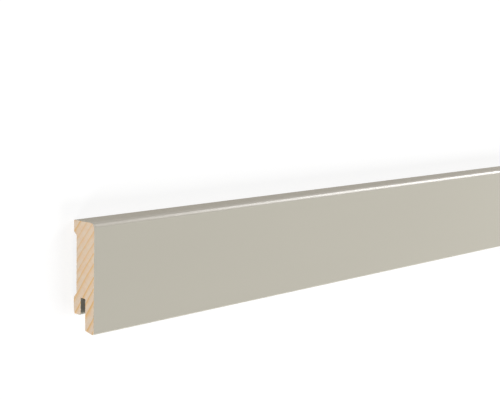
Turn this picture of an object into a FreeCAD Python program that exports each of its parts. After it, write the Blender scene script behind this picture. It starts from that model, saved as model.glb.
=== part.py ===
"""Skirting board length: one moulded softwood board, 58 x 16 mm, sold 2.4 m long.

The board lies on its back, as it would on a floor. +X runs along it, +Y from the edge that meets the
floor when it is fitted to its top edge, and +Z out of its face. The origin is the middle of the box's
underside. A plain blank is planed first, and each cut after it is one cutter of the moulder.
"""

import FreeCAD
import Part
import Sketcher
import os

NODE = "skirting_board"

SIZES = {
    "board_length": (2400.0, "stock length"),
    "board_height": (58.0, "floor edge to top edge"),
    "board_thickness": (16.0, "back to face"),
    "lip_thickness": (6.8, "front lip, which hides the wall clips and the gap round the floor"),
    "lip_land": (1.4, "flat of the lip's underside beside the face, which meets the floor"),
    "lip_undercut": (1.2, "rise of the rest of the underside, so that a high spot clears it"),
    "rebate_height": (8.8, "floor edge to the underside of the back lip"),
    "groove_width": (3.6, "slot for the tongues of the wall clips"),
    "groove_depth": (9.1, "underside of the back lip to the end of the slot"),
    "mouth_chamfer": (1.0, "lead-in on the slot's wall at the back lip"),
    "heel_depth": (0.7, "bevel on the back lip's outer arris, across the thickness"),
    "heel_height": (1.9, "the same bevel, up the back"),
    "lower_pad_height": (9.0, "wall bearing of the back lip, its bevel included"),
    "upper_pad_height": (5.9, "wall bearing under the top edge"),
    "channel_depth": (2.1, "hollow in the back that clears an uneven wall or a thin cable"),
    "flank_height": (2.1, "height over which each flank of the hollow slopes"),
    "face_radius": (2.6, "rounding between the face and the top edge"),
    "floor_radius": (0.8, "rounding between the face and the floor edge"),
    "back_arris": (0.3, "break between the top edge and the back"),
}

# Heights on the section, from the middle of the board.
FLOOR_EDGE = "-sizes.board_height / 2"
TOP_EDGE = "sizes.board_height / 2"
UNDERCUT_END = f"{FLOOR_EDGE} + sizes.lip_undercut"
BACK_LIP = f"{FLOOR_EDGE} + sizes.rebate_height"
GROOVE_END = f"{BACK_LIP} + sizes.groove_depth"
HEEL_END = f"{BACK_LIP} + sizes.heel_height"
CHANNEL_START = f"{BACK_LIP} + sizes.lower_pad_height"
CHANNEL_END = f"{TOP_EDGE} - sizes.upper_pad_height"
CHANNEL_FLOOR_START = f"{CHANNEL_START} + sizes.flank_height"
CHANNEL_FLOOR_END = f"{CHANNEL_END} - sizes.flank_height"

# Places through the thickness, from the back.
BACK = "0"
FACE = "sizes.board_thickness"
LAND_END = f"{FACE} - sizes.lip_land"
LIP_BACK = f"{FACE} - sizes.lip_thickness"
GROOVE_BACK = f"{LIP_BACK} - sizes.groove_width"
HEEL_START = "sizes.heel_depth"
CHANNEL_FLOOR = "sizes.channel_depth"

# Outlines on the section, each corner as its height and its place through the thickness.
BLANK = ((FLOOR_EDGE, BACK), (TOP_EDGE, BACK), (TOP_EDGE, FACE), (FLOOR_EDGE, FACE))
CUTTERS = {
    "rebate": ((FLOOR_EDGE, BACK), (BACK_LIP, BACK), (BACK_LIP, LIP_BACK), (FLOOR_EDGE, LIP_BACK)),
    "clip_groove": (
        (BACK_LIP, GROOVE_BACK),
        (GROOVE_END, GROOVE_BACK),
        (GROOVE_END, LIP_BACK),
        (BACK_LIP, LIP_BACK),
    ),
    "back_channel": (
        (CHANNEL_START, BACK),
        (CHANNEL_END, BACK),
        (CHANNEL_FLOOR_END, CHANNEL_FLOOR),
        (CHANNEL_FLOOR_START, CHANNEL_FLOOR),
    ),
    "lip_undercut": ((FLOOR_EDGE, LAND_END), (UNDERCUT_END, LIP_BACK), (FLOOR_EDGE, LIP_BACK)),
    "heel_bevel": ((BACK_LIP, BACK), (HEEL_END, BACK), (BACK_LIP, HEEL_START)),
}

TOLERANCE = 0.001


def make_sizes(doc):
    """Puts every driving dimension in the sheet, in millimetres, under a name of its own."""
    sheet = doc.addObject("Spreadsheet::Sheet", "sizes")
    for row, (name, (value, meaning)) in enumerate(SIZES.items(), start=1):
        sheet.set(f"A{row}", name)
        sheet.set(f"B{row}", str(value))
        sheet.set(f"C{row}", meaning)
        sheet.setAlias(f"B{row}", name)
    doc.recompute()
    return sheet


def millimetres(doc, expression):
    """The value of an expression over the sheet's sizes."""
    return float(doc.sizes.evalExpression(expression))


def section_sketch(body, name, outline):
    """A closed outline across the board, with every corner bound to the sheet.

    On the body's YZ plane a sketch's x is the board's height and its y is the thickness.
    """
    sketch = body.newObject("Sketcher::SketchObject", name)
    plane = next(f for f in body.Origin.OriginFeatures if f.Role == "YZ_Plane")
    sketch.AttachmentSupport = (plane, "")
    sketch.MapMode = "FlatFace"
    points = []
    for height, depth in outline:
        across = millimetres(body.Document, height)
        through = millimetres(body.Document, depth)
        points.append(FreeCAD.Vector(across, through, 0))
    count = len(points)
    for side in range(count):
        sketch.addGeometry(Part.LineSegment(points[side], points[(side + 1) % count]), False)
    for side in range(count):
        sketch.addConstraint(Sketcher.Constraint("Coincident", side, 2, (side + 1) % count, 1))
    for corner, (height, depth) in enumerate(outline):
        bind_corner(sketch, "DistanceX", f"height_{corner}", corner, points[corner].x, height)
        bind_corner(sketch, "DistanceY", f"depth_{corner}", corner, points[corner].y, depth)
    return sketch


def bind_corner(sketch, kind, name, corner, value, expression):
    """Holds one coordinate of a corner, measured from the sketch's origin."""
    number = sketch.addConstraint(Sketcher.Constraint(kind, -1, 1, corner, 1, value))
    sketch.renameConstraint(number, name)
    sketch.setExpression(f"Constraints.{name}", expression)


def plane_blank(body):
    """The blank: a plain strip, sawn to the stock length and planed on four sides."""
    blank = body.newObject("PartDesign::Pad", "blank")
    blank.Profile = section_sketch(body, "blank_section", BLANK)
    blank.SideType = "Symmetric"
    blank.setExpression("Length", "sizes.board_length")
    body.Document.recompute()


def run_cutter(body, name, outline):
    """One cutter, run along the whole board. What it takes away is compared with its outline."""
    before = body.Shape.Volume
    sketch = section_sketch(body, f"{name}_section", outline)
    cut = body.newObject("PartDesign::Pocket", name)
    cut.Profile = sketch
    cut.Type = "ThroughAll"
    cut.SideType = "Symmetric"
    body.Document.recompute()
    taken = before - body.Shape.Volume
    expected = Part.Face(sketch.Shape.Wires[0]).Area * millimetres(body.Document, "sizes.board_length")
    if abs(taken - expected) > TOLERANCE * expected:
        raise RuntimeError(f"{name} takes {taken:.0f} mm3 away instead of {expected:.0f} mm3")


def long_arris(body, height, depth):
    """The name of the edge that runs the whole length of the board through one section point."""
    across = millimetres(body.Document, height)
    through = millimetres(body.Document, depth)
    for number, edge in enumerate(body.Shape.Edges, start=1):
        ends = [vertex.Point for vertex in edge.Vertexes]
        if all(abs(end.y - across) + abs(end.z - through) < TOLERANCE for end in ends):
            return f"Edge{number}"
    raise RuntimeError(f"no arris along the board at {across:.2f}, {through:.2f}")


def dress_arris(body, kind, name, height, depth, size):
    """Rounds or chamfers one long arris. size is the name of its radius or chamfer in the sheet."""
    base = (body.Tip, [long_arris(body, height, depth)])
    feature = body.newObject(f"PartDesign::{kind}", name)
    feature.Base = base
    feature.setExpression("Radius" if kind == "Fillet" else "Size", f"sizes.{size}")
    body.Document.recompute()


def make_board(doc):
    """The board, as it leaves the moulder."""
    body = doc.addObject("PartDesign::Body", "board")
    body.Label = NODE
    plane_blank(body)
    for name, outline in CUTTERS.items():
        run_cutter(body, name, outline)
    dress_arris(body, "Chamfer", "mouth_lead_in", BACK_LIP, GROOVE_BACK, "mouth_chamfer")
    dress_arris(body, "Chamfer", "back_break", TOP_EDGE, BACK, "back_arris")
    dress_arris(body, "Fillet", "face_round", TOP_EDGE, FACE, "face_radius")
    dress_arris(body, "Fillet", "floor_round", FLOOR_EDGE, FACE, "floor_radius")
    return body


def check(doc, board):
    """Stops unless every feature is sound and the board is one solid of the stated size."""
    for item in doc.Objects:
        if "Invalid" in item.State or "Error" in item.State:
            raise RuntimeError(f"{item.Name} failed: {item.State}")
    shape = board.Shape
    if shape.isNull() or not shape.isValid() or len(shape.Solids) != 1:
        raise RuntimeError(f"{board.Label} is not one valid solid")
    box = shape.BoundBox
    for measured, size in ((box.XLength, "length"), (box.YLength, "height"), (box.ZLength, "thickness")):
        wanted = millimetres(doc, f"sizes.board_{size}")
        if abs(measured - wanted) > TOLERANCE:
            raise RuntimeError(f"the board's {size} is {measured:.3f} mm instead of {wanted:.3f} mm")
    print(f"{board.Label}: {box.XLength:.1f} x {box.YLength:.1f} x {box.ZLength:.1f} mm,"
          f" {shape.Volume / 1000:.1f} cm3, {len(shape.Faces)} faces")


def main():
    doc = FreeCAD.newDocument("skirting_board_length")
    make_sizes(doc)
    board = make_board(doc)
    doc.recompute()
    check(doc, board)
    os.makedirs("parts", exist_ok=True)
    board.Shape.exportStep(f"parts/{board.Label}.step")


main()
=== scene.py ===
"""Skirting board length: softwood, lacquered in a warm grey, bare on its back and sawn ends."""

import itertools
import math

import bmesh
import bpy
from bpy.props import FloatProperty, FloatVectorProperty, IntProperty, PointerProperty
from mathutils import Matrix, Vector


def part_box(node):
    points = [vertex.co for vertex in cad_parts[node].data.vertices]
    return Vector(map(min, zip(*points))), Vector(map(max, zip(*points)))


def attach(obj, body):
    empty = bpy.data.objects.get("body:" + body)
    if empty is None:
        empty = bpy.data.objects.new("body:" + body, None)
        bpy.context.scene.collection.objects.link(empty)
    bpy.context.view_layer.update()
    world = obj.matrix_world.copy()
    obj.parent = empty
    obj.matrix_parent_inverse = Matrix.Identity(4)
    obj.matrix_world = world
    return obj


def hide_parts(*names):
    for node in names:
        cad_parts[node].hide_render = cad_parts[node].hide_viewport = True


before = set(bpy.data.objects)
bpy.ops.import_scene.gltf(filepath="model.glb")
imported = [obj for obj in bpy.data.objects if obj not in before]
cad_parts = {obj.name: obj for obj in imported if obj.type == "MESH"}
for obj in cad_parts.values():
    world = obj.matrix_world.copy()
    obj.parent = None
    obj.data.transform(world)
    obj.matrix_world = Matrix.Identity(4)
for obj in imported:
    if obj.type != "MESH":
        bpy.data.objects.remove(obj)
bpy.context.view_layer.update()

bl_info = {
    "name": "Skirting board length",
    "version": (1, 0, 0),
    "blender": (4, 5, 0),
    "location": "3D View > Sidebar > Skirting",
    "description": "Models a lacquered skirting board with its milled back, and a studio for it",
    "category": "Add Mesh",
}

NODE = "skirting_board"
LOW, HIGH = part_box(NODE)

MM = 0.001

# Two places this near each other are taken as one.
NEAR = 0.01 * MM

# The board's height is fewer such steps than this.
STEPS_ACROSS = 10000


def millimetres(name, description, value):
    """A length that a user can change, given in millimetres and kept in metres."""
    return FloatProperty(
        name=name, description=description, default=value * MM, min=0.0, precision=4, unit="LENGTH"
    )


def share(name, description, value):
    """A share from 0 to 1 that a user can change."""
    return FloatProperty(
        name=name, description=description, default=value, min=0.0, max=1.0, subtype="FACTOR"
    )


def colour(name, description, red, green, blue):
    """A colour that a user can change, given as it looks on a screen, from 0 to 255."""
    linear = [screen_to_linear(level / 255) for level in (red, green, blue)]
    return FloatVectorProperty(
        name=name, description=description, default=linear, min=0.0, max=1.0, subtype="COLOR"
    )


def screen_to_linear(level):
    """The light that a screen gives for a level from 0 to 1."""
    if level <= 0.04045:
        return level / 12.92
    return ((level + 0.055) / 1.055) ** 2.4


class SectionSizes(bpy.types.PropertyGroup):
    """The moulded section, which runs the whole length of the board."""

    lip: millimetres("Front lip", "Thickness of the lip in front of the clips", 6.8)
    land: millimetres("Land", "Flat of the lip's underside beside the face", 1.4)
    undercut: millimetres("Undercut", "Rise of the rest of the lip's underside", 1.2)
    rebate: millimetres("Rebate", "Floor edge to the underside of the back lip", 8.8)
    groove_width: millimetres("Groove width", "Slot for the tongues of the clips", 3.6)
    groove_depth: millimetres("Groove depth", "Back lip's underside to the slot's end", 9.1)
    mouth: millimetres("Mouth chamfer", "Lead-in on the slot's wall at the back lip", 1.0)
    heel_depth: millimetres("Heel depth", "Bevel on the back lip, across the thickness", 0.7)
    heel_height: millimetres("Heel height", "The same bevel, up the back", 1.9)
    lower_pad: millimetres("Lower pad", "Wall bearing of the back lip", 9.0)
    upper_pad: millimetres("Upper pad", "Wall bearing under the top edge", 5.9)
    hollow: millimetres("Hollow", "Depth of the channel in the back", 2.1)
    flank: millimetres("Flank", "Height over which each side of the channel slopes", 2.1)
    face_radius: millimetres("Face radius", "Rounding between the face and the top edge", 2.6)
    floor_radius: millimetres("Floor radius", "Rounding between the face and the floor edge", 0.8)
    back_break: millimetres("Back break", "Chamfer between the top edge and the back", 0.3)
    arris: millimetres("Arris", "Softening of the other long arrises", 0.12)
    end_slice: millimetres("End slice", "Length that is modelled apart at each sawn end", 3.0)
    saw_break: millimetres("Saw break", "Broken edge round the sawn faces", 0.12)
    round_steps: IntProperty(
        name="Round steps", description="Faces across the face radius", default=14, min=2
    )


class WoodLooks(bpy.types.PropertyGroup):
    """The softwood, as it shows on the sawn ends and on the back."""

    earlywood: colour("Earlywood", "Pale wood that grows in spring", 217, 199, 178)
    latewood: colour("Latewood", "Dense orange wood that ends each ring", 213, 167, 99)
    blush: colour("Blush", "Pinkish wood between the pale and the orange", 219, 190, 161)
    resin: colour("Resin", "Resin canals, fine dots on an end and dashes on a side", 158, 112, 66)
    pith_below: millimetres("Pith below", "How far the pith lies below the middle", 301.0)
    pith_front: millimetres("Pith in front", "How far the pith lies in front of the back", 407.0)


class LacquerLooks(bpy.types.PropertyGroup):
    """The warm grey lacquer on the face, the edges, the groove and the rebate."""

    greige: colour("Greige", "Colour of the lacquer", 187, 183, 170)
    roughness: share("Roughness", "Satin of the flat lacquer", 0.72)
    rubbed: share("Rubbed", "Roughness where it is rubbed down", 0.37)


class StudioLooks(bpy.types.PropertyGroup):
    """The floor, the room and the camera."""

    lens: FloatProperty(name="Lens", description="Focal length", default=86.136, unit="CAMERA")
    room_light: share("Room light", "Strength of the even light from all round", 0.12)
    floor_glow: share("Floor glow", "What makes the floor white in the picture", 0.82)


# Growth rings from the pith outwards: the ring's width in millimetres, and how dark its latewood is.
RINGS = (
    (4.0, 0.55),
    (3.9, 0.74),
    (5.4, 0.76),
    (3.6, 0.73),
    (3.4, 0.76),
    (4.6, 0.6),
    (3.6, 0.61),
    (3.2, 0.48),
    (3.8, 0.5),
    (3.4, 0.46),
    (3.4, 0.42),
    (4.0, 0.7),
    (4.3, 0.5),
)

# How far from the pith the first ring starts, how much the tree's line turns from the board's, and
# how far a ring sways slowly and wavers finely.
FIRST_RING = 474.15 * MM
RING_DRIFT = math.radians(0.35)
RING_SWAY = 1.2 * MM
RING_WAVER = 0.18 * MM

# How dark a ring is from its inner edge, at 0, to its outer edge, at 1.
LATEWOOD_BAND = ((0.0, 0.0), (0.42, 0.02), (0.66, 0.35), (0.84, 1.0), (0.93, 1.0), (0.985, 0.0))

# The wood's shade from the first ring to the last. It is darkest at the first.
HEART_SHADE = ((0.0, 0.935), (0.36, 1.0), (0.92, 1.0), (1.0, 0.95))

# The axle of the blade that sawed the ends, and the wave texture's scale for the marks that the
# moulder's cutters leave, one every 1.75 mm.
SAW_AXLE = (0.0, -0.11, 0.095)
RIPPLE_SCALE = 180.0

# How dark the lacquer's clouds are, and the painted shade inside the groove, as shares of its colour.
CLOUD_SHADE = 0.94
GROOVE_PAINTED_SHADE = 0.66

# Where the painted shade in the groove starts and where it is darkest, upwards from the groove's
# mouth.
GROOVE_SHADE_FADE = (1.2 * MM, 2.8 * MM)

# How far the coat on the top edge and its rounding is tinted towards the resin, against its
# reflection.
TOP_EDGE_TINT = 0.1

# Where the rubbed gloss ends and the flat satin starts, outwards from the end of the rounding, and
# how much the satin's roughness varies.
GLOSS_FADE = (-0.2 * MM, 0.4 * MM)
UNEVEN_SATIN = 0.06

# A chip beside a saw cut is as wide as the first, times a noise from 0 to 1, less the second. So
# about half of the edge stays whole.
CHIP_WIDTH = 1.1 * MM
CHIP_CUTBACK = 0.58 * MM

# How far the spray drifts on the back. Its dust starts and is thickest at these heights, upwards
# from the top edge's break and from the heel.
SPRAY_DRIFT = 2.4 * MM
DUST_AT_TOP = (-0.4 * MM, 1.6 * MM)
DUST_AT_HEEL = (2.6 * MM, 0.6 * MM)

# A face is sawn wood if it is this near an end and looks out of it at least this squarely. It can
# be planed wood if it looks backwards by more than the last.
END_ZONE = 1.0 * MM
SQUARELY = 0.6
BACKWARDS = -0.05

# The slack at a border between two finishes.
BORDER = 0.1 * MM

# Angles between faces: a flat joint, an arris to soften, and a corner that stays sharp in shading.
FLAT_JOINT = math.radians(0.5)
SHARP_ARRIS = math.radians(15)
SHADED_CORNER = math.radians(25)

# How nodes are laid out in the editor: the width and height for each, and how many go in a row.
NODE_WIDTH, NODE_HEIGHT, NODES_IN_A_ROW = 220, 260, 12

# Each lamp: its name, place, aim, the way its length lies, width, length, power, and whether the
# gloss mirrors it. Only one is mirrored, so that the rounding shows one highlight.
SEEN_STRETCH = (-0.8, 0.0, 0.0)
LEFT_END = (-1.2, 0.0, 0.0)
ALONG = (1.0, 0.0, 0.0)
UPRIGHT = (0.0, 0.0, 1.0)
LAMPS = (
    ("right_softbox", (3.59, 2.59, 1.29), SEEN_STRETCH, (0.0, 0.45, -0.89), 2.3, 3.6, 287.0, True),
    ("left_softbox", (-3.7, -2.9, 0.5), SEEN_STRETCH, UPRIGHT, 1.6, 1.0, 158.0, False),
    ("near_softbox", (0.0, -1.4, 1.4), SEEN_STRETCH, ALONG, 1.2, 1.2, 41.8, False),
    ("end_softbox", (-1.9, 0.5, 0.3), LEFT_END, ALONG, 0.3, 0.3, 2.04, False),
)

# The floor lies just under the board. It turns white between two distances from the board's
# middle, and the last value is how bright a reflection shows it.
FLOOR_SIZE = 60.0
FLOOR_GAP = 0.05 * MM
FLOOR_GREY = (0.25, 0.25, 0.25, 1.0)
WHITER_FLOOR = (1.5, 3.0)
FLOOR_IN_A_MIRROR = 0.72

# Worked out from the board's long edges and the corners of its sawn end.
CAMERA_PLACE = (-1.58513, 0.12742, 0.47628)
CAMERA_RIGHT = (0.67909, 0.0242, 0.73366)
CAMERA_UP = (0.08696, 0.98977, -0.11314)


def edit(piece):
    """Opens one piece in edit mode, with nothing else selected."""
    bpy.ops.object.select_all(action="DESELECT")
    piece.select_set(True)
    bpy.context.view_layer.objects.active = piece
    bpy.ops.object.mode_set(mode="EDIT")


def done():
    """Leaves edit mode."""
    bpy.ops.object.mode_set(mode="OBJECT")


def pick(piece, kind, test):
    """Selects, in edit mode, the faces or the edges that pass a test."""
    bpy.ops.mesh.select_mode(type=kind)
    bpy.ops.mesh.select_all(action="DESELECT")
    drawn = bmesh.from_edit_mesh(piece.data)
    for item in drawn.faces if kind == "FACE" else drawn.edges:
        if test(item):
            item.select_set(True)
    drawn.select_flush_mode()
    bmesh.update_edit_mesh(piece.data)


def cutters(size):
    """Each cutter's outline on the section, as corners (height, thickness), going round one way."""
    floor, top = LOW.y, HIGH.y
    back, face = LOW.z, HIGH.z
    back_lip = floor + size.rebate
    lip_back = face - size.lip
    groove_back = lip_back - size.groove_width
    groove_end = back_lip + size.groove_depth
    hollow_start = back_lip + size.lower_pad
    hollow_end = top - size.upper_pad
    hollow_floor = back + size.hollow
    return (
        ((floor, back), (back_lip, back), (back_lip, lip_back), (floor, lip_back)),
        (
            (back_lip, groove_back),
            (groove_end, groove_back),
            (groove_end, lip_back),
            (back_lip, lip_back),
        ),
        (
            (hollow_start, back),
            (hollow_end, back),
            (hollow_end - size.flank, hollow_floor),
            (hollow_start + size.flank, hollow_floor),
        ),
        ((floor, face - size.land), (floor, lip_back), (floor + size.undercut, lip_back)),
        (
            (back_lip, back),
            (back_lip + size.heel_height, back),
            (back_lip, back + size.heel_depth),
        ),
    )


def draw_blank(name, x):
    """The blank's section at one place along the board: a flat rectangle."""
    middle, extent = (LOW + HIGH) / 2, HIGH - LOW
    bpy.ops.object.select_all(action="DESELECT")
    bpy.ops.mesh.primitive_plane_add(
        size=1.0, location=(x, middle.y, middle.z), rotation=(0.0, math.radians(90), 0.0)
    )
    blank = bpy.context.active_object
    blank.name = blank.data.name = name
    blank.scale = (extent.z, extent.y, 1.0)
    bpy.ops.object.transform_apply(location=True, rotation=True, scale=True)
    return blank


def mill(piece, outline):
    """Scores the section along each side of a cutter, then takes out what lies inside it."""
    corners = [Vector(corner) for corner in outline]
    sides = [(a, (b - a).normalized()) for a, b in zip(corners, corners[1:] + corners[:1])]
    for start, way in sides:
        bpy.ops.mesh.select_all(action="SELECT")
        bpy.ops.mesh.bisect(
            plane_co=(0.0, start.x, start.y), plane_no=(0.0, way.y, -way.x), threshold=NEAR
        )

    def inside(face):
        middle = face.calc_center_median()
        place = Vector((middle.y, middle.z))
        turns = [way.cross(place - start) for start, way in sides]
        return all(turn > 0 for turn in turns) or all(turn < 0 for turn in turns)

    pick(piece, "FACE", inside)
    bpy.ops.mesh.delete(type="FACE")


def runs_along(edge):
    """Whether an edge runs along the board."""
    a, b = edge.verts
    return abs(a.co.y - b.co.y) < NEAR and abs(a.co.z - b.co.z) < NEAR


def round_arris(piece, height, depth, radius, steps):
    """Rounds the long arris at one point of the section. With one step it is a chamfer."""

    def there(edge):
        place = edge.verts[0].co
        return (
            runs_along(edge) and abs(place.y - height) < NEAR and abs(place.z - depth) < NEAR
        )

    pick(piece, "EDGE", there)
    bpy.ops.mesh.bevel(offset=radius, segments=steps, affect="EDGES", clamp_overlap=True)


def soften_arrises(piece, offset):
    """Takes the sharpness off every long arris that still stands out."""
    pick(piece, "EDGE", lambda e: runs_along(e) and e.calc_face_angle_signed(0.0) > SHARP_ARRIS)
    bpy.ops.mesh.bevel(offset=offset, segments=2, affect="EDGES", clamp_overlap=True)


def mould(name, start, stop, size):
    """A stretch of board: its section is milled, drawn out, and its arrises rounded."""
    piece = draw_blank(name, start)
    edit(piece)
    for outline in cutters(size):
        mill(piece, outline)
    bpy.ops.mesh.select_all(action="SELECT")
    bpy.ops.mesh.dissolve_limited(angle_limit=FLAT_JOINT)
    bpy.ops.mesh.select_all(action="SELECT")
    bpy.ops.mesh.extrude_region_move(TRANSFORM_OT_translate={"value": (stop - start, 0.0, 0.0)})
    bpy.ops.mesh.select_all(action="SELECT")
    bpy.ops.mesh.normals_make_consistent(inside=False)
    groove_back = HIGH.z - size.lip - size.groove_width
    round_arris(piece, HIGH.y, HIGH.z, size.face_radius, steps=size.round_steps)
    round_arris(piece, LOW.y, HIGH.z, size.floor_radius, steps=6)
    round_arris(piece, HIGH.y, LOW.z, size.back_break, steps=1)
    round_arris(piece, LOW.y + size.rebate, groove_back, size.mouth, steps=1)
    soften_arrises(piece, size.arris)
    done()
    return piece


def break_sawn_edge(end, x, offset):
    """Breaks the sharp edge that the saw leaves round an end."""
    edit(end)
    pick(end, "EDGE", lambda edge: all(abs(v.co.x - x) < NEAR for v in edge.verts))
    bpy.ops.mesh.bevel(offset=offset, segments=2, affect="EDGES", clamp_overlap=True)
    done()


def settle_order(piece):
    """Numbers the corners and faces by their place, because a bevel numbers them anew each run."""

    def by_place(place):
        along, height, depth = (round(distance / NEAR) for distance in place)
        return (along * STEPS_ACROSS + height) * STEPS_ACROSS + depth

    edit(piece)
    drawn = bmesh.from_edit_mesh(piece.data)
    drawn.verts.sort(key=lambda corner: by_place(corner.co))
    drawn.edges.sort(key=lambda edge: by_place((edge.verts[0].co + edge.verts[1].co) / 2))
    drawn.faces.sort(key=lambda face: by_place(face.calc_center_bounds()))
    bmesh.update_edit_mesh(piece.data)
    done()


def settle_normals(piece):
    """Smooth roundings beside truly flat faces."""
    bpy.ops.object.select_all(action="DESELECT")
    piece.select_set(True)
    bpy.context.view_layer.objects.active = piece
    bpy.ops.object.shade_smooth_by_angle(angle=SHADED_CORNER)
    weighted = piece.modifiers.new("flat faces", "WEIGHTED_NORMAL")
    weighted.keep_sharp = True
    weighted.weight = 100
    bpy.ops.object.modifier_apply(modifier=weighted.name)


class Nodes:
    """The node tree of a finish or of the room, filled from left to right."""

    def __init__(self, owner):
        owner.use_nodes = True
        self.owner = owner
        self.tree = owner.node_tree
        self.tree.nodes.clear()

    def add(self, kind, label, inputs=None, **settings):
        """Adds a labelled node. An input is a value, or the output of another node."""
        node = self.tree.nodes.new(f"ShaderNode{kind}")
        node.label = label
        row, column = divmod(len(self.tree.nodes), NODES_IN_A_ROW)
        node.location = (NODE_WIDTH * column, -NODE_HEIGHT * row)
        for name, value in settings.items():
            setattr(node, name, value)
        for name, value in (inputs or {}).items():
            if isinstance(value, bpy.types.NodeSocket):
                self.tree.links.new(value, node.inputs[name])
            else:
                node.inputs[name].default_value = value
        return node

    def maths(self, operation, label, *values):
        """The result of one step of arithmetic."""
        inputs = dict(enumerate(values))
        return self.add("Math", label, inputs, operation=operation).outputs["Value"]

    def rise(self, label, value, start, end, low=0.0, high=1.0, kind="LINEAR"):
        """A level that goes from low to high while a value goes from start to end."""
        inputs = {"Value": value, "From Min": start, "From Max": end, "To Min": low, "To Max": high}
        return self.add("MapRange", label, inputs, interpolation_type=kind).outputs["Result"]

    def ramp(self, label, place, stops, interpolation="LINEAR"):
        """A level read off a line through its stops, each a place from 0 to 1 and a level."""
        ramp = self.add("ValToRGB", label, {"Fac": place})
        ramp.color_ramp.interpolation = interpolation
        elements = ramp.color_ramp.elements
        elements.remove(elements[1])
        elements[0].position = stops[0][0]
        elements[0].color = (stops[0][1],) * 3 + (1.0,)
        for position, level in stops[1:]:
            elements.new(position).color = (level,) * 3 + (1.0,)
        return ramp.outputs["Color"]

    def mapped(self, label, place, move=(0.0,) * 3, turn=(0.0,) * 3, scale=(1.0,) * 3):
        """A place that is scaled, then turned, then moved."""
        inputs = {"Vector": place, "Location": move, "Rotation": turn, "Scale": scale}
        return self.add("Mapping", label, inputs).outputs["Vector"]

    def off_axis(self, label, place):
        """How far a place lies from the line through the origin along the board."""
        onto_section = {0: place, 1: (0.0, 1.0, 1.0)}
        flat = self.add("VectorMath", f"{label}, flat", onto_section, operation="MULTIPLY")
        length = self.add("VectorMath", label, {0: flat.outputs["Vector"]}, operation="LENGTH")
        return length.outputs["Value"]

    def noise(self, label, place, along, across, detail=2.0):
        """Soft noise, from 0 to 1, with its features counted per metre along and across the board."""
        where = self.mapped(f"{label}, place", place, scale=(along, across, across))
        cloud = self.add("TexNoise", label, {"Vector": where, "Scale": 1.0, "Detail": detail})
        return cloud.outputs["Fac"]

    def mix(self, label, factor, first, second):
        """One colour over another."""
        blend = self.add("Mix", label, data_type="RGBA")
        for socket, value in (("Factor_Float", factor), ("A_Color", first), ("B_Color", second)):
            found = next(s for s in blend.inputs if s.identifier == socket)
            if isinstance(value, bpy.types.NodeSocket):
                self.tree.links.new(value, found)
            else:
                found.default_value = (*value, 1.0)
        return next(s for s in blend.outputs if s.identifier == "Result_Color")

    def surface(self, base, roughness, height, depth, strength, specular=0.5):
        """The finished surface, with its relief."""
        bump = self.add("Bump", "relief", {"Height": height, "Distance": depth, "Strength": strength})
        inputs = {
            "Base Color": base,
            "Roughness": roughness,
            "Specular IOR Level": specular,
            "Normal": bump.outputs["Normal"],
        }
        shader = self.add("BsdfPrincipled", "surface", inputs)
        self.add("OutputMaterial", "output", {"Surface": shader.outputs["BSDF"]})


def growth_rings(nodes, place, looks):
    """How far into latewood a place lies, from 0 to 1, and its place among all the rings."""
    pith = (0.0, looks.pith_below, -looks.pith_front)
    drift = (0.0, RING_DRIFT, -RING_DRIFT)
    from_left = nodes.mapped("from the left end", place, move=(-LOW.x, 0.0, 0.0))
    centred = nodes.mapped("from the pith", from_left, move=pith, turn=drift)
    radius = nodes.off_axis("radius", centred)
    sway = nodes.noise("ring sway", place, along=4.0, across=55.0)
    swayed = nodes.maths("MULTIPLY_ADD", "swayed radius", sway, RING_SWAY, radius)
    waver = nodes.noise("ring waver", place, along=30.0, across=450.0)
    wavered = nodes.maths("MULTIPLY_ADD", "wavering radius", waver, RING_WAVER, swayed)
    period = sum(width for width, _ in RINGS) * MM
    start = FIRST_RING + (RING_SWAY + RING_WAVER) / 2
    turns = nodes.maths("MULTIPLY_ADD", "rings passed", wavered, 1.0 / period, -start / period)
    phase = nodes.maths("FRACT", "place among the rings", turns)
    edges = list(itertools.accumulate(width * MM / period for width, _ in RINGS))
    count = len(RINGS)
    steps = [(edge, ring / count) for ring, edge in enumerate(edges[:-1], 1)]
    number = nodes.ramp("ring and part of a ring", phase, [(0.0, 0.0), *steps, (1.0, 1.0)])
    part = nodes.maths("FRACT", "part of a ring", nodes.maths("MULTIPLY", "rings", number, count))
    tones = [(ring / count, tone) for ring, (_, tone) in enumerate(RINGS)]
    tone = nodes.ramp("how dark each ring is", number, tones, "CONSTANT")
    band = nodes.ramp("latewood ends each ring", part, LATEWOOD_BAND)
    return nodes.maths("MULTIPLY", "latewood", tone, band), phase


def resin_canals(nodes, place):
    """Sparse resin canals, 1 in their middle and 0 outside: dots on an end, dashes on a side."""
    where = nodes.mapped("canals, place", place, scale=(12.0, 520.0, 520.0))
    cells = nodes.add("TexVoronoi", "canals", {"Vector": where, "Scale": 1.0})
    return nodes.rise("canal", cells.outputs["Distance"], start=0.065, end=0.02)


def wood_colour(nodes, place, looks, tone, phase, fibre):
    """Pale wood that turns pinkish and then orange towards the end of each ring."""
    patches = nodes.noise("patches of blush", place, along=8.0, across=330.0)
    blush = nodes.rise("some blush", patches, start=0.35, end=0.7, high=0.8)
    pale = nodes.mix("blush", blush, looks.earlywood, looks.blush)
    ringed = nodes.mix("rings in the wood", tone, pale, looks.latewood)
    canal = nodes.maths("MULTIPLY", "faint canals", resin_canals(nodes, place), 0.5)
    dotted = nodes.mix("canals in the wood", canal, ringed, looks.resin)
    fine = nodes.maths("MULTIPLY_ADD", "fibre shade", fibre, 0.2, 0.9)
    older = nodes.ramp("a little darker towards the pith", phase, HEART_SHADE)
    shade = nodes.maths("MULTIPLY", "shade", fine, older)
    shaded = nodes.add("HueSaturation", "fibres", {"Color": dotted, "Fac": 1.0, "Value": shade})
    return shaded.outputs["Color"]


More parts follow.
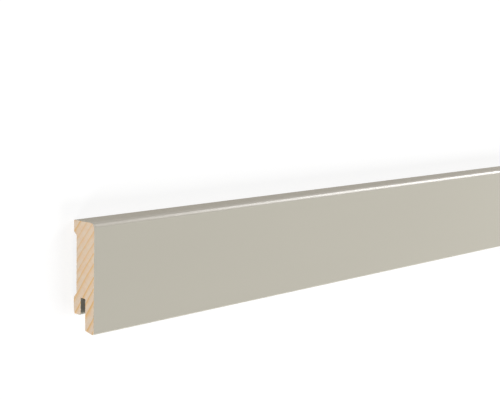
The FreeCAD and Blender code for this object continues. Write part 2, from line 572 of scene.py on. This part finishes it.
def rays(nodes, place, looks):
    """Fine rays that run outwards from the pith, from 0 to 1."""
    turn = math.atan2(looks.pith_front, looks.pith_below)
    turned = nodes.mapped("turned to the rays", place, turn=(turn, 0.0, 0.0))
    where = nodes.mapped("rays, place", turned, scale=(300.0, 150.0, 3400.0))
    return nodes.add("TexNoise", "rays", {"Vector": where, "Scale": 1.0, "Detail": 2.0}).outputs["Fac"]


def saw_scores(nodes, place):
    """Shallow arcs that the blade leaves across an end, from 0 to 1."""
    from_axle = {0: place, 1: SAW_AXLE}
    moved = nodes.add("VectorMath", "from the blade's axle", from_axle, operation="SUBTRACT")
    radius = nodes.off_axis("blade radius", moved.outputs["Vector"])
    inputs = {"W": radius, "Scale": 1100.0, "Detail": 2.0}
    return nodes.add("TexNoise", "saw scores", inputs, noise_dimensions="1D").outputs["Fac"]


def sawn_softwood(looks):
    """End grain as a fine saw leaves it: rings, rays, pores and faint arcs of the blade."""
    nodes = Nodes(bpy.data.materials.new("sawn_softwood"))
    place = nodes.add("TexCoord", "place").outputs["Object"]
    tone, phase = growth_rings(nodes, place, looks)
    pores = nodes.noise("pores", place, along=300.0, across=5200.0, detail=3.0)
    fewer = nodes.maths("MULTIPLY", "fewer pores", pores, 0.6)
    grain = nodes.maths("MULTIPLY_ADD", "rays and pores", rays(nodes, place, looks), 0.8, fewer)
    scores = saw_scores(nodes, place)
    scored = nodes.maths("MULTIPLY_ADD", "scores in the shade", scores, 0.35, grain)
    centred = nodes.maths("SUBTRACT", "centred", scored, 0.37)
    wood = wood_colour(nodes, place, looks, tone, phase, centred)
    proud = nodes.maths("MULTIPLY_ADD", "latewood stands proud", tone, 0.5, scores)
    relief = nodes.maths("MULTIPLY_ADD", "pores in the relief", grain, 0.6, proud)
    nodes.surface(wood, roughness=0.78, height=relief, depth=0.06 * MM, strength=0.6)


def stray_lacquer(nodes, place, size):
    """How much of the lacquer strayed onto the back, beside the top edge and at the heel."""
    height = nodes.add("SeparateXYZ", "up the back", {"Vector": place}).outputs["Y"]
    drift = nodes.noise("drift of the spray", place, along=40.0, across=500.0, detail=3.0)
    strayed = nodes.maths("MULTIPLY_ADD", "strayed", drift, SPRAY_DRIFT, height)
    top = [HIGH.y - size.back_break + rise for rise in DUST_AT_TOP]
    heel = [LOW.y + size.rebate + rise for rise in DUST_AT_HEEL]
    at_top = nodes.rise("near the top edge", strayed, *top, high=0.6)
    at_heel = nodes.rise("near the heel", strayed, *heel, high=0.5)
    return nodes.maths("MAXIMUM", "stray lacquer", at_top, at_heel)


def planed_softwood(looks, greige, size):
    """Long grain as the moulder leaves it, with a breath of lacquer that strayed round its edges."""
    nodes = Nodes(bpy.data.materials.new("planed_softwood"))
    place = nodes.add("TexCoord", "place").outputs["Object"]
    tone, phase = growth_rings(nodes, place, looks)
    fibre = nodes.noise("fibres", place, along=14.0, across=3000.0, detail=4.0)
    streaks = nodes.noise("streaks", place, along=3.0, across=500.0, detail=3.0)
    fewer = nodes.maths("MULTIPLY", "fewer fibres", fibre, 0.7)
    both = nodes.maths("MULTIPLY_ADD", "fibres and streaks", streaks, 0.6, fewer)
    centred = nodes.maths("SUBTRACT", "centred", both, 0.15)
    wood = wood_colour(nodes, place, looks, tone, phase, centred)
    dusted = nodes.mix("dusted with lacquer", stray_lacquer(nodes, place, size), wood, greige)
    wave = {"Vector": place, "Scale": RIPPLE_SCALE, "Distortion": 0.6, "Detail": 1.0}
    ripples = nodes.add("TexWave", "cutter ripples", wave, bands_direction="X").outputs["Fac"]
    proud = nodes.maths("MULTIPLY_ADD", "latewood stands proud", tone, 0.6, fibre)
    relief = nodes.maths("MULTIPLY_ADD", "ripples in the relief", ripples, 0.35, proud)
    nodes.surface(dusted, roughness=0.6, height=relief, depth=0.03 * MM, strength=0.6)


def darker(shown, level):
    """A colour at a share of its light."""
    return tuple(channel * level for channel in shown)


def in_the_groove(nodes, across, size):
    """1 well inside the clip groove, where the lacquer is given painted shade, and 0 at its mouth and
    on the rest of the board.
    """
    half = size.groove_width / 2
    middle = HIGH.z - size.lip - half
    in_slot = nodes.maths("COMPARE", "between the lips", across["Z"], middle, half + BORDER)
    mouth = LOW.y + size.rebate
    end = mouth + size.groove_depth
    below_end = nodes.maths("LESS_THAN", "below its end", across["Y"], end + BORDER)
    fade = [mouth + rise for rise in GROOVE_SHADE_FADE]
    depth = nodes.rise("up the groove", across["Y"], *fade, high=below_end, kind="SMOOTHSTEP")
    return nodes.maths("MULTIPLY", "groove", in_slot, depth)


def chipped_by_the_saw(nodes, place, across):
    """1 in the ragged chips beside a saw cut, where the coat came off, and 0 elsewhere."""
    either_end = nodes.maths("ABSOLUTE", "either end", across["X"])
    from_cut = nodes.maths("SUBTRACT", "from the saw cut", HIGH.x, either_end)
    ragged = nodes.noise("ragged coat", place, along=900.0, across=1500.0, detail=3.0)
    chips = nodes.maths("MULTIPLY_ADD", "chips", ragged, CHIP_WIDTH, -CHIP_CUTBACK)
    return nodes.maths("LESS_THAN", "chipped by the saw", from_cut, chips)


def greige_lacquer(looks, wood, size):
    """Satin lacquer with a fine peel, in which the rings of the wood just tell."""
    nodes = Nodes(bpy.data.materials.new("greige_lacquer"))
    place = nodes.add("TexCoord", "place").outputs["Object"]
    across = nodes.add("SeparateXYZ", "across the board", {"Vector": place}).outputs
    radius = size.face_radius
    clouds = nodes.noise("clouds", place, along=4.0, across=20.0)
    tint = nodes.mix("tint", clouds, looks.greige, darker(looks.greige, CLOUD_SHADE))
    # Painted shade: the coat is made darker well inside the groove.
    groove_shade = darker(looks.greige, GROOVE_PAINTED_SHADE)
    coat = nodes.mix("painted shade in the groove", in_the_groove(nodes, across, size), tint, groove_shade)
    below_top = nodes.maths("SUBTRACT", "below the top edge", HIGH.y, across["Y"])
    top_tint = TOP_EDGE_TINT
    near_top = nodes.rise("near the top edge", below_top, radius, radius / 2, high=top_tint)
    # Painted tint against a reflection: the top edge and its rounding are made warmer and a little
    # darker, to offset the white sheen they show.
    tinted_coat = nodes.mix("tinted against the top edge's reflection", near_top, coat, wood.resin)
    chipped = chipped_by_the_saw(nodes, place, across)
    painted = nodes.mix("bare chips", chipped, tinted_coat, wood.earlywood)
    behind_face = nodes.maths("SUBTRACT", "behind the face", HIGH.z, across["Z"])
    from_corner = nodes.maths("MAXIMUM", "from the corner", below_top, behind_face)
    smoothest = looks.roughness - UNEVEN_SATIN / 2
    flat_coat = nodes.maths("MULTIPLY_ADD", "flat coat", clouds, UNEVEN_SATIN, smoothest)
    fade = [radius + out for out in GLOSS_FADE]
    gloss = nodes.rise("rubbed", from_corner, *fade, low=looks.rubbed, high=flat_coat)
    tone, _ = growth_rings(nodes, place, wood)
    peel = nodes.noise("peel", place, along=500.0, across=700.0)
    relief = nodes.maths("MULTIPLY_ADD", "rings tell through", tone, 0.3, peel)
    nodes.surface(painted, gloss, height=relief, depth=0.004 * MM, strength=0.5, specular=0.8)


def finishes(scene):
    """The lacquer, the planed wood and the sawn wood, which all the pieces share."""
    made = bpy.data.materials
    if "greige_lacquer" not in made:
        size, wood, lacquer = scene.skirting_section, scene.skirting_wood, scene.skirting_lacquer
        greige_lacquer(lacquer, wood, size)
        planed_softwood(wood, lacquer.greige, size)
        sawn_softwood(wood)
    return [made[name] for name in ("greige_lacquer", "planed_softwood", "sawn_softwood")]


def finish_number(face, size):
    """Which finish a face has: 0 is the lacquer, 1 the planed wood and 2 the sawn wood."""
    place, normal = face.center, face.normal
    if HIGH.x - abs(place.x) < END_ZONE and abs(normal.x) > SQUARELY:
        return 2
    above_rebate = place.y > LOW.y + size.rebate + BORDER
    below_top = place.y < HIGH.y - size.back_break - BORDER / 2
    behind = place.z < LOW.z + size.hollow + BORDER and normal.z < BACKWARDS
    return 1 if behind and above_rebate and below_top else 0


def finish_piece(piece, scene):
    """Lays the finishes on a piece's faces and puts it in the CAD board's place."""
    settle_order(piece)
    settle_normals(piece)
    for material in finishes(scene):
        piece.data.materials.append(material)
    for face in piece.data.polygons:
        face.material_index = finish_number(face, scene.skirting_section)
    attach(piece, "root")
    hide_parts(NODE)


class SKIRTING_OT_board(bpy.types.Operator):
    """Models the board between its sawn ends"""

    bl_idname = "skirting.board"
    bl_label = "Board"

    def execute(self, context):
        size = context.scene.skirting_section
        board = mould("board_length", LOW.x + size.end_slice, HIGH.x - size.end_slice, size)
        finish_piece(board, context.scene)
        return {"FINISHED"}


class SKIRTING_OT_sawn_ends(bpy.types.Operator):
    """Models the last slice at each end, with the broken edge round its sawn face"""

    bl_idname = "skirting.sawn_ends"
    bl_label = "Sawn ends"

    def execute(self, context):
        size = context.scene.skirting_section
        for name, cut, side in (("left_sawn_end", LOW.x, 1), ("right_sawn_end", HIGH.x, -1)):
            start, stop = sorted((cut, cut + side * size.end_slice))
            end = mould(name, start, stop, size)
            break_sawn_edge(end, cut, size.saw_break)
            finish_piece(end, context.scene)
        return {"FINISHED"}


def turned(right, up):
    """The turn that lays an object's X along right and its Y nearly along up."""
    right = Vector(right).normalized()
    up = (Vector(up) - right * right.dot(Vector(up))).normalized()
    return Matrix((right, up, right.cross(up))).transposed().to_4x4()


def place_camera(lens):
    """The camera looks down on the left end of the board, along its face, with the top edge up."""
    lens_data = bpy.data.cameras.new("camera")
    lens_data.lens = lens
    lens_data.sensor_width = 36.0
    lens_data.clip_start = 0.01
    camera = bpy.data.objects.new("camera", lens_data)
    bpy.context.scene.collection.objects.link(camera)
    camera.matrix_world = Matrix.Translation(CAMERA_PLACE) @ turned(CAMERA_RIGHT, CAMERA_UP)
    bpy.context.scene.camera = camera


def hang_softbox(name, place, target, long_way, width, length, watts, mirrored):
    """A flat, even lamp that faces a point, with its length laid along a direction."""
    lamp = bpy.data.lights.new(name, "AREA")
    lamp.shape = "RECTANGLE"
    lamp.size, lamp.size_y = width, length
    lamp.energy = watts
    softbox = bpy.data.objects.new(name, lamp)
    away = Vector(place) - Vector(target)
    short_way = Vector(long_way).cross(away)
    softbox.matrix_world = Matrix.Translation(place) @ turned(short_way, away.cross(short_way))
    softbox.visible_camera = False
    softbox.visible_glossy = mirrored
    bpy.context.scene.collection.objects.link(softbox)


def mirrored_or_seen_through(nodes, path):
    """1 where a reflection or a pane looks at the background, and 0 elsewhere."""
    glossy, clear = path["Is Glossy Ray"], path["Is Transmission Ray"]
    return nodes.maths("MAXIMUM", "mirrored or seen through", glossy, clear)


def lay_floor(glow):
    """A pale floor that shows white and keeps a soft shadow."""
    bpy.ops.mesh.primitive_plane_add(size=FLOOR_SIZE, location=(0.0, 0.0, LOW.z - FLOOR_GAP))
    floor = bpy.context.active_object
    floor.name = floor.data.name = "floor"
    nodes = Nodes(bpy.data.materials.new("pale_floor"))
    path = nodes.add("LightPath", "what looks at the floor").outputs
    place = nodes.add("TexCoord", "place").outputs["Object"]
    away = nodes.add("VectorMath", "distance", {0: place}, operation="LENGTH").outputs["Value"]
    whiter = nodes.rise("whiter far off", away, *WHITER_FLOOR, low=glow, kind="SMOOTHSTEP")
    seen = nodes.maths("MULTIPLY", "seen", path["Is Camera Ray"], whiter)
    bent = mirrored_or_seen_through(nodes, path)
    shown = nodes.maths("MULTIPLY_ADD", "shown white", bent, FLOOR_IN_A_MIRROR, seen)
    matt = nodes.add("BsdfDiffuse", "matt", {"Color": FLOOR_GREY})
    light = nodes.add("Emission", "white in the picture", {"Strength": shown})
    both = nodes.add("AddShader", "floor", {0: matt.outputs["BSDF"], 1: light.outputs["Emission"]})
    nodes.add("OutputMaterial", "output", {"Surface": both.outputs["Shader"]})
    floor.data.materials.append(nodes.owner)


def light_room(strength):
    """Even light from all round, which shows white to the camera and in reflections."""
    nodes = Nodes(bpy.data.worlds.new("studio"))
    path = nodes.add("LightPath", "what looks at the room").outputs
    bent = mirrored_or_seen_through(nodes, path)
    shown = nodes.maths("MAXIMUM", "shown white", path["Is Camera Ray"], bent)
    level = nodes.rise("light of the room", shown, 0.0, 1.0, low=strength)
    sky = nodes.add("Background", "room", {"Color": (1.0, 1.0, 1.0, 1.0), "Strength": level})
    nodes.add("OutputWorld", "output", {"Surface": sky.outputs["Background"]})
    bpy.context.scene.world = nodes.owner


class SKIRTING_OT_studio(bpy.types.Operator):
    """Lays the floor, hangs the lamps and places the camera"""

    bl_idname = "skirting.studio"
    bl_label = "Studio"

    def execute(self, context):
        looks = context.scene.skirting_studio
        lay_floor(looks.floor_glow)
        light_room(looks.room_light)
        for lamp in LAMPS:
            hang_softbox(*lamp)
        place_camera(looks.lens)
        context.scene.view_settings.view_transform = "Standard"
        return {"FINISHED"}


class SKIRTING_PT_panel(bpy.types.Panel):
    """Lists the steps and the sizes in the sidebar of the 3D view"""

    bl_idname = "SKIRTING_PT_panel"
    bl_label = "Skirting board"
    bl_space_type = "VIEW_3D"
    bl_region_type = "UI"
    bl_category = "Skirting"

    def draw(self, context):
        for name in GROUPS:
            group = getattr(context.scene, name)
            for size in group.__annotations__:
                self.layout.prop(group, size)
        for step in STEPS:
            self.layout.operator(step.bl_idname)


GROUPS = {
    "skirting_section": SectionSizes,
    "skirting_wood": WoodLooks,
    "skirting_lacquer": LacquerLooks,
    "skirting_studio": StudioLooks,
}
STEPS = (SKIRTING_OT_board, SKIRTING_OT_sawn_ends, SKIRTING_OT_studio)


def register():
    for group in GROUPS.values():
        bpy.utils.register_class(group)
    for name, group in GROUPS.items():
        setattr(bpy.types.Scene, name, PointerProperty(type=group))
    for step in (*STEPS, SKIRTING_PT_panel):
        bpy.utils.register_class(step)


def unregister():
    for step in (SKIRTING_PT_panel, *reversed(STEPS)):
        bpy.utils.unregister_class(step)
    for name, group in reversed(GROUPS.items()):
        delattr(bpy.types.Scene, name)
        bpy.utils.unregister_class(group)


def main():
    register()
    bpy.ops.skirting.board()
    bpy.ops.skirting.sawn_ends()
    bpy.ops.skirting.studio()


if __name__ == "__main__":
    main()
